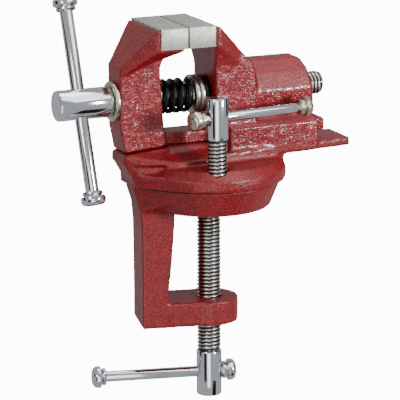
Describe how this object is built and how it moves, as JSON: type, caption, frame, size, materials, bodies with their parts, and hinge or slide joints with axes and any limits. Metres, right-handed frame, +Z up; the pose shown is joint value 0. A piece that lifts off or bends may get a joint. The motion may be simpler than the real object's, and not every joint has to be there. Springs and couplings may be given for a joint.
{
  "type": "bench vise",
  "caption": "Small swivel bench vise with a screw-driven sliding jaw and a C-shaped clamp for a table edge.",
  "frame": {"origin": "on the swivel axis, in the face of the platform that rests on the table", "axes": "+X along the main screw from the handle to the rear, +Z up along the swivel axis, Y across the jaws"},
  "size_m": [0.1615, 0.081, 0.2182],
  "materials": {
    "enamel": "red hammertone enamel on cast iron",
    "jaw_steel": "coarse ground steel",
    "chrome": "bright chrome plate",
    "nickel": "bright turned and plated steel",
    "zinc": "yellowish zinc plate",
    "black_steel": "oiled black oxide steel"
  },
  "bodies": {
    "clamp": {"clamp_frame": "enamel", "pivot_stud": "black_steel", "pivot_washer": "zinc", "pivot_nut": "black_steel"},
    "vise": {"vise_body": "enamel", "fixed_jaw_block": "jaw_steel", "fixed_jaw_screws": "black_steel", "spring_washers": "nickel", "screw_collar": "black_steel"},
    "sliding_jaw": {"movable_jaw": "enamel", "movable_jaw_block": "jaw_steel", "movable_jaw_screws": "black_steel", "head_washer": "zinc", "return_spring": "black_steel"},
    "main_spindle": {"main_screw": "chrome"},
    "main_handle": {"main_bar": "chrome", "main_bar_top_knob": "chrome", "main_bar_bottom_knob": "chrome"},
    "lock_tip": {"lock_pad": "zinc"},
    "lock_spindle": {"lock_screw": "chrome"},
    "lock_handle": {"lock_bar": "chrome", "lock_bar_front_knob": "zinc", "lock_bar_rear_knob": "zinc"},
    "clamp_foot": {"clamp_pad": "nickel"},
    "clamp_spindle": {"clamp_screw": "nickel"},
    "clamp_handle": {"clamp_bar": "chrome", "clamp_bar_long_knob": "chrome", "clamp_bar_short_knob": "chrome"}
  },
  "joints": [
    {"name": "swivel", "type": "hinge", "parent": "clamp", "child": "vise", "pos_m": [0, 0, 0.02], "axis": [0, 0, 1], "continuous": true},
    {"name": "jaw_travel", "type": "slide", "parent": "vise", "child": "sliding_jaw", "axis": [-1, 0, 0], "range_m": [0, 0.034], "deforming": ["return_spring"]},
    {"name": "main_screw_turn", "type": "hinge", "parent": "sliding_jaw", "child": "main_spindle", "pos_m": [-0.05, 0, 0.0592], "axis": [-1, 0, 0], "range_deg": [0, 6120]},
    {"name": "main_bar_slide", "type": "slide", "parent": "main_spindle", "child": "main_handle", "axis": [0, 0.3502, 0.9367], "range_m": [-0.0405, 0.0369]},
    {"name": "lock_travel", "type": "slide", "parent": "vise", "child": "lock_tip", "axis": [0, 0, 1], "range_m": [-0.0008, 0]},
    {"name": "lock_screw_turn", "type": "hinge", "parent": "lock_tip", "child": "lock_spindle", "pos_m": [-0.009, -0.031, 0.03], "axis": [0, 0, 1], "range_deg": [-144, 0]},
    {"name": "lock_bar_slide", "type": "slide", "parent": "lock_spindle", "child": "lock_handle", "axis": [0.9914, 0.1305, 0], "range_m": [0, 0.0022]},
    {"name": "clamp_travel", "type": "slide", "parent": "clamp", "child": "clamp_foot", "axis": [0, 0, 1], "range_m": [-0.04, 0]},
    {"name": "clamp_screw_turn", "type": "hinge", "parent": "clamp_foot", "child": "clamp_spindle", "pos_m": [0, 0, -0.05], "axis": [0, 0, 1], "range_deg": [-7200, 0]},
    {"name": "clamp_bar_slide", "type": "slide", "parent": "clamp_spindle", "child": "clamp_handle", "axis": [0.9744, -0.225, 0], "range_m": [0, 0.0488]}
  ],
  "couplings": [
    {"joint": "jaw_travel", "follows": "main_screw_turn", "m_per_rad": 0.00031831},
    {"joint": "lock_travel", "follows": "lock_screw_turn", "m_per_rad": 0.00031831},
    {"joint": "clamp_travel", "follows": "clamp_screw_turn", "m_per_rad": 0.00031831}
  ]
}
